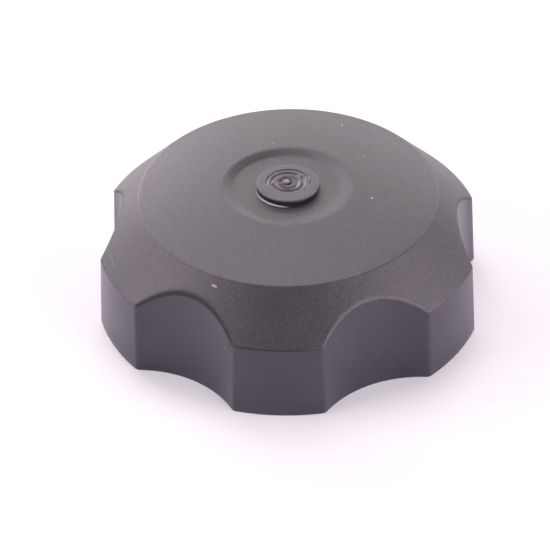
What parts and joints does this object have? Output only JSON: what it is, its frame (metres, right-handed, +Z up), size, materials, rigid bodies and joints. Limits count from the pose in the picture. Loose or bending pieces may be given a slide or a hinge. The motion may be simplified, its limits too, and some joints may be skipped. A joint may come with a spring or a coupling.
{
  "type": "fuel filler cap",
  "caption": "Six-lobed screw-on fuel filler cap with a domed top, a riveted centre, a threaded collar, a swivelling gasket carrier and a roll-over vent valve.",
  "frame": {"origin": "centre of the rim's resting plane, on the cap's axis", "axes": "+Z up along the cap's axis, out through the rivet; -Y towards the middle of one lobe"},
  "size_m": [0.0726, 0.076, 0.026],
  "materials": {
    "moulded_black": "fine-grained matte moulding",
    "rivet_black": "satin, hot-formed head",
    "inner_plastic": "natural satin acetal",
    "valve_plastic": "satin",
    "slip_plastic": "smooth, slippery",
    "gasket_rubber": "matte nitrile rubber",
    "foam": "open-cell foam",
    "zinc_steel": "bright zinc plate",
    "spring_steel": "oiled spring steel",
    "ball_steel": "polished"
  },
  "bodies": {
    "shell": {"cap_shell": "moulded_black"},
    "carrier": {"centre_rivet": "rivet_black", "rivet_washer": "zinc_steel", "disc_spring": "spring_steel", "slip_disc": "slip_plastic", "seal_carrier": "inner_plastic", "neck_gasket": "gasket_rubber", "breather_foam": "foam", "retainer_plate": "inner_plastic", "plate_screw_1": "zinc_steel", "plate_screw_2": "zinc_steel", "plate_screw_3": "zinc_steel", "valve_housing": "valve_plastic", "valve_seat": "gasket_rubber", "valve_cover": "valve_plastic"},
    "ball": {"rollover_ball": "ball_steel"}
  },
  "joints": [
    {"name": "carrier_swivel", "type": "hinge", "parent": "shell", "child": "carrier", "pos_m": [0, 0, 0.0198], "axis": [0, 0, 1], "continuous": true},
    {"name": "ball_travel", "type": "slide", "parent": "carrier", "child": "ball", "axis": [0, 0, 1], "range_m": [0, 0.0008]}
  ]
}
